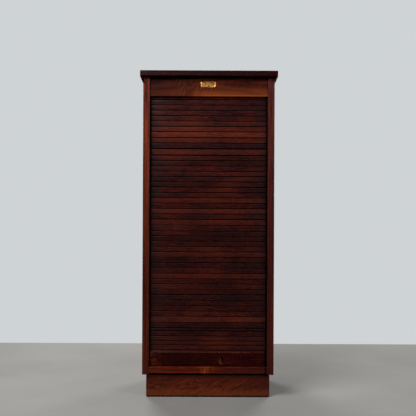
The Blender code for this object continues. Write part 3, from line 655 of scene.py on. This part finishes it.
# The widest gaps in mm, under the slat of that number
WIDE_GAPS = {1: 4.6, 5: 3.6, 6: 3.8, 12: 3.6, 18: 3.2, 26: 3.4, 32: 3.4, 38: 4.0, 39: 5.2}
curtain_low, curtain_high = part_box("tambour_section_01")[0].z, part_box("tambour_section_12")[1].z
heights = [ODD_HEIGHTS.get(n, SLAT_HEIGHT) for n in range(1, SLATS + 1)]
per_mm = (curtain_high - curtain_low) / sum(heights)
gaps = [WIDE_GAPS.get(n, chance.uniform(1.7, 2.8)) / 1000 for n in range(1, SLATS + 2)]
tones = [TONES.get(n, chance.uniform(-0.45, 0.20)) for n in range(1, SLATS + 1)]
foot = curtain_low
for number, (height, tone) in enumerate(zip(heights, tones), 1):
    section = max(0, (number - 2) // SLATS_PER_SECTION)
    node_name = f"tambour_section_{section + 1:02d}"
    low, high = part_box(node_name)
    head = foot + height * per_mm
    made = slat(
        f"slat_{number:02d}",
        foot + SLAT_PLAY / 2,
        head - SLAT_PLAY / 2,
        low.y + SLAT_MIDDLE_BULGE + SECTION_SET_BACK * section + chance.uniform(0.0, 0.0004),
        high.y,
        high.x - SLAT_FACE_INSET,
        high.x,
        (gaps[number - 1], gaps[number]),
        tone,
    )
    made.data.materials.append(slat_material)
    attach(made, nodes[node_name]["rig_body"])
    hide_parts(node_name)
    foot = head


# ---- Lead bar and its lock ------------------------------------------------------------
# The wide bar at the curtain's foot, darkened by hands, with a plain keyhole. A steel
# lock is let into it from below. Its upper slope has a painted highlight where it catches
# the light, and old polish has lifted at its left end and beside the keyhole.

KEYHOLE_X, KEYHOLE_Z = 0.074, 0.1965
RIGHT_END_SHADE_FROM = 0.283  # x from which the right end is painted black, as shade beside the stile
LEAD_COLOURS = ("#0f0101", "#220302", "#390704", "#822916")


def lead_shade(tree, place, colour, blended, spread, times):
    """Polish lifted at the left end and by the keyhole; painted highlight on the slope; painted shade in
    hole and right end.
    """
    low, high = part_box("shutter_lead_bar")
    x, _, z = add_node(tree, "SeparateXYZ", {0: place}).outputs
    scuff = add_node(
        tree, "TexNoise", {"Vector": place, "Scale": 60.0, "Detail": 4.0, "Roughness": 0.7}
    ).outputs[0]
    end = times(spread(x, low.x + 0.10, low.x + 0.04), spread(scuff, 0.46, 0.62))
    colour = blended(times(end, 0.5), colour, linear("#6b2f16"))

    def reach(middle_x, middle_z, stretch_x, stretch_z):
        """Distance from a point of the bar's face, in an oval's own measure."""
        inputs = {0: place, 1: (middle_x, 0.0, middle_z)}
        off = add_node(tree, "VectorMath", inputs, operation="SUBTRACT").outputs[0]
        inputs = {0: off, 1: (stretch_x, 0.0, stretch_z)}
        flat = add_node(tree, "VectorMath", inputs, operation="MULTIPLY").outputs[0]
        return add_node(tree, "VectorMath", {0: flat}, operation="LENGTH").outputs["Value"]

    near = reach(KEYHOLE_X - 0.006, KEYHOLE_Z - 0.008, 1.0, 0.7)
    halo = times(spread(near, 0.020, 0.006), spread(scuff, 0.44, 0.62))
    colour = blended(times(halo, 0.85), colour, linear("#74351a"))
    # Painted shade, near black, in and round the keyhole
    hole = reach(KEYHOLE_X, KEYHOLE_Z, 1.6, 0.8)
    colour = blended(spread(hole, 0.0120, 0.0085), colour, linear("#020101"))
    # Painted highlight along the upper slope, where it catches the light
    slope = times(spread(z, high.z - 0.0130, high.z - 0.0105), spread(z, high.z - 0.004, high.z - 0.007))
    along = times(spread(x, -0.10, 0.06, 0.35, 1.0), spread(x, 0.24, 0.16, 0.35, 1.0))
    rubbed_and_sheen = times(times(slope, along), spread(scuff, 0.40, 0.66, 0.12, 0.75))
    colour = blended(rubbed_and_sheen, colour, linear("#5e2a1a"))
    # Painted shade, near black, at the right end beside the right stile
    return blended(spread(x, RIGHT_END_SHADE_FROM, RIGHT_END_SHADE_FROM + 0.005, 0.0, 0.85), colour, linear("#030101"))


finish_node(
    "shutter_lead_bar",
    stained_oak(
        "stained_oak_lead_bar",
        "x",
        LEAD_COLOURS,
        41.0,
        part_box("shutter_lead_bar"),
        fleck=0.3,
        wear=0.2,
        roughness=0.36,
        specular=0.06,
        shade=lead_shade,
    ),
)


def blackened_steel(name, seed):
    """Mild steel blackened in oil, gone brown in places with old rust."""
    material = bpy.data.materials.new(name)
    material.use_nodes = True
    tree = material.node_tree
    shader = tree.nodes["Principled BSDF"]
    place = add_node(tree, "TexCoord").outputs["Object"]
    moved = add_node(
        tree, "VectorMath", {0: place, 1: (140.0,) * 3, 2: (seed,) * 3}, operation="MULTIPLY_ADD"
    ).outputs[0]
    bloom = add_node(
        tree, "TexNoise", {"Vector": moved, "Scale": 1.0, "Detail": 6.0, "Roughness": 0.7}
    ).outputs[0]
    amount = add_node(tree, "MapRange", {0: bloom, 1: 0.45, 2: 0.68, 3: 0.0, 4: 0.7}).outputs[0]
    colour = add_node(
        tree, "Mix", {0: amount, 6: linear("#1a1817"), 7: linear("#2a1a12")}, data_type="RGBA"
    ).outputs[2]
    tree.links.new(colour, shader.inputs["Base Color"])
    shader.inputs["Metallic"].default_value = 1.0
    dull = add_node(tree, "MapRange", {0: bloom, 1: 0.4, 2: 0.7, 3: 0.32, 4: 0.7}).outputs[0]
    tree.links.new(dull, shader.inputs["Roughness"])
    return material


for number, name in enumerate(("lock_case", "lock_bolt_pin", "lock_hook_bolt")):
    finish_node(name, blackened_steel(f"blackened_steel_{name}", 3.0 + number))


# ---- Bottom rail and strike plate -----------------------------------------------------
# The rail that the curtain closes onto, redder than the rest, with a brass strike plate
# let into its top for the lock's hook.

RAIL_COLOURS = ("#2b0904", "#511507", "#74230b", "#963f19")


def rail_shade(tree, place, colour, blended, spread, times):
    """A few upright ticks in the middle, a browner right half and painted shade, black, at the right
    end.
    """
    x = add_node(tree, "SeparateXYZ", {0: place}).outputs[0]
    ticks = add_node(
        tree, "TexNoise", {"Vector": in_lengths(tree, place, (5.0, 60.0, 80.0)), "Scale": 1.0}
    ).outputs[0]
    here = times(spread(x, -0.05, -0.02), spread(x, 0.04, 0.01))
    colour = blended(times(times(spread(ticks, 0.45, 0.6), here), 0.5), colour, linear("#a04a1c"))
    colour = blended(spread(x, 0.00, 0.12, 0.0, 0.60), colour, linear("#280b0c"))
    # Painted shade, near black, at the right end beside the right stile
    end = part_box("bottom_rail")[1].x
    return blended(spread(x, end - 0.016, end - 0.011, 0.0, 0.9), colour, linear("#050202"))


finish_node(
    "bottom_rail",
    stained_oak(
        "stained_oak_bottom_rail", "x", RAIL_COLOURS, 51.0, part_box("bottom_rail"), wear=0.5,
        blotch=0.35, shade=rail_shade,
    ),
)
finish_node("strike_plate", aged_brass("aged_brass_strike", 12.0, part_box("strike_plate")))


# ---- Plinth -------------------------------------------------------------------------
# Four boards under the carcass, set back all round. The front one is flat-sawn, so its
# rings show as arches, and its lower half is scuffed to a lighter orange-brown.

PLINTH_COLOURS = ("#280a06", "#4c190c", "#722d15", "#8d4425")


def plinth_shade(tree, place, colour, blended, spread, times):
    """Redder above, scuffed to lighter wood below, and a black painted contact shadow along the floor.
    """
    x, _, z = add_node(tree, "SeparateXYZ", {0: place}).outputs
    colour = blended(spread(x, 0.14, 0.26, 0.0, 0.45), colour, linear("#2a0f0d"))
    colour = blended(spread(z, 0.05, 0.112, 0.0, 0.5), colour, linear("#42130b"))
    colour = blended(spread(z, 0.060, 0.012, 0.0, 0.35), colour, linear("#83401e"))
    # Painted contact shadow, near black, along the floor
    return blended(spread(z, 0.0095, 0.0055, 0.0, 0.95), colour, linear("#060302"))


for number, part in enumerate(("front", "left", "right", "back")):
    name = f"plinth_{part}"
    finish_node(
        name,
        stained_oak(
            f"stained_oak_{name}",
            "y" if part in ("left", "right") else "x",
            PLINTH_COLOURS,
            61.0 + number,
            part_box(name),
            rings=9.0,
            ring_size=(60.0, 330.0),
            slant=28.0 if part == "front" else 0.0,
            wear=0.15,
            blotch=0.3,
            shade=plinth_shade,
        ),
    )


# ---- Inside -------------------------------------------------------------------------
# Shelves, cleats, floor and false top are oak with a thin clear varnish. The false back
# and the outer back are thin birch plywood, left bare.

INSIDE_COLOURS = ("#6d4322", "#8d5d33", "#a97748", "#b78a5c")
PLY_COLOURS = ("#8a6a45", "#a3835a", "#b9996d", "#c3a67c")
inner = [
    ("bottom_board", "x"),
    ("false_top", "x"),
    *((f"shelf_{n}", "x") for n in (1, 2, 3)),
    *((f"shelf_{n}_cleat_{word}", "y") for n in (1, 2, 3) for word in ("left", "right")),
]
for number, (name, along) in enumerate(inner):
    finish_node(
        name,
        stained_oak(
            f"clear_varnished_oak_{name}", along, INSIDE_COLOURS, 71.0 + number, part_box(name),
            roughness=0.5, wear=0.2, fleck=0.3,
        ),
    )
for number, name in enumerate(("false_back", "back_panel")):
    finish_node(
        name,
        stained_oak(
            f"bare_birch_plywood_{name}", "z", PLY_COLOURS, 91.0 + number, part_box(name),
            roughness=0.65, wear=0.0, fleck=0.0, ring_size=(120.0, 900.0), rings=5.0,
        ),
    )


# ---- Floor, backdrop, light and camera ---------------------------------------------------
# A plain pale floor that ends where the backdrop starts, a large soft light high on the
# left, a weaker one on the right and two behind, and a camera at standing height.

FLOOR_REACH, FLOOR_BACK = 6.0, 1.29
floor_mesh = bpy.data.meshes.new("floor")
floor_mesh.from_pydata(
    [
        (-FLOOR_REACH, -FLOOR_REACH, 0),
        (FLOOR_REACH, -FLOOR_REACH, 0),
        (FLOOR_REACH, FLOOR_BACK, 0),
        (-FLOOR_REACH, FLOOR_BACK, 0),
    ],
    [],
    [(0, 1, 2, 3)],
)
floor = bpy.data.objects.new("floor", floor_mesh)
bpy.context.scene.collection.objects.link(floor)
floor_material = bpy.data.materials.new("pale_floor")
floor_material.use_nodes = True
floor_tree = floor_material.node_tree
floor_shader = floor_tree.nodes["Principled BSDF"]
floor_place = add_node(floor_tree, "TexCoord").outputs["Object"]
floor_cloud = add_node(
    floor_tree, "TexNoise", {"Vector": floor_place, "Scale": 2.2, "Detail": 6.0}
).outputs[0]
floor_colour = add_node(
    floor_tree, "Mix", {0: floor_cloud, 6: linear("#82807c"), 7: linear("#989692")}, data_type="RGBA"
).outputs[2]
floor_tree.links.new(floor_colour, floor_shader.inputs["Base Color"])
floor_shader.inputs["Roughness"].default_value = 0.8
floor_mesh.materials.append(floor_material)

world = bpy.data.worlds.new("studio")
bpy.context.scene.world = world
world.use_nodes = True
world_tree = world.node_tree
world_tree.nodes.clear()
rays = add_node(world_tree, "LightPath").outputs["Is Camera Ray"]
seen = add_node(world_tree, "Background", {0: linear("#cfd3d5"), 1: 1.0}).outputs[0]
glow = add_node(world_tree, "Background", {0: (0.9, 0.95, 1.0, 1.0), 1: 0.05}).outputs[0]
both = add_node(world_tree, "MixShader", {0: rays, 1: glow, 2: seen}).outputs[0]
add_node(world_tree, "OutputWorld", {0: both})


def soft_light(name, location, target, size, watts):
    """A white rectangular light that faces its target."""
    lamp = bpy.data.lights.new(name, "AREA")
    lamp.shape, lamp.size, lamp.size_y = "RECTANGLE", size[0], size[1]
    lamp.energy = watts
    made = bpy.data.objects.new(name, lamp)
    made.location = location
    made.rotation_euler = (Vector(target) - Vector(location)).to_track_quat("-Z", "Y").to_euler()
    bpy.context.scene.collection.objects.link(made)


soft_light("key", (-1.5, -2.0, 3.0), (0, -0.2, 1.4), (1.8, 1.3), 110)
soft_light("fill", (2.6, -2.4, 2.0), (0, -0.2, 1.0), (1.6, 1.6), 40)
soft_light("back_left", (-1.7, 3.6, 2.4), (0, 0.2, 0.9), (1.6, 1.6), 110)
soft_light("back_right", (2.0, 3.6, 2.0), (0, 0.2, 0.9), (1.6, 1.6), 80)

CAMERA_X, CAMERA_HEIGHT = -0.0018, 0.835
CAMERA_DISTANCE = 2.996  # from the stiles' faces
CAMERA_ROLL = -0.25  # degrees
camera_data = bpy.data.cameras.new("camera")
camera_data.lens, camera_data.sensor_width = 51.0, 36.0
camera_data.shift_y = 0.0623
camera = bpy.data.objects.new("camera", camera_data)
stile_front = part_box("front_stile_left")[0].y
camera.location = (CAMERA_X, stile_front - CAMERA_DISTANCE, CAMERA_HEIGHT)
camera.rotation_euler = (math.radians(90), math.radians(CAMERA_ROLL), 0)
bpy.context.scene.collection.objects.link(camera)
bpy.context.scene.camera = camera
bpy.context.scene.view_settings.view_transform = "Standard"
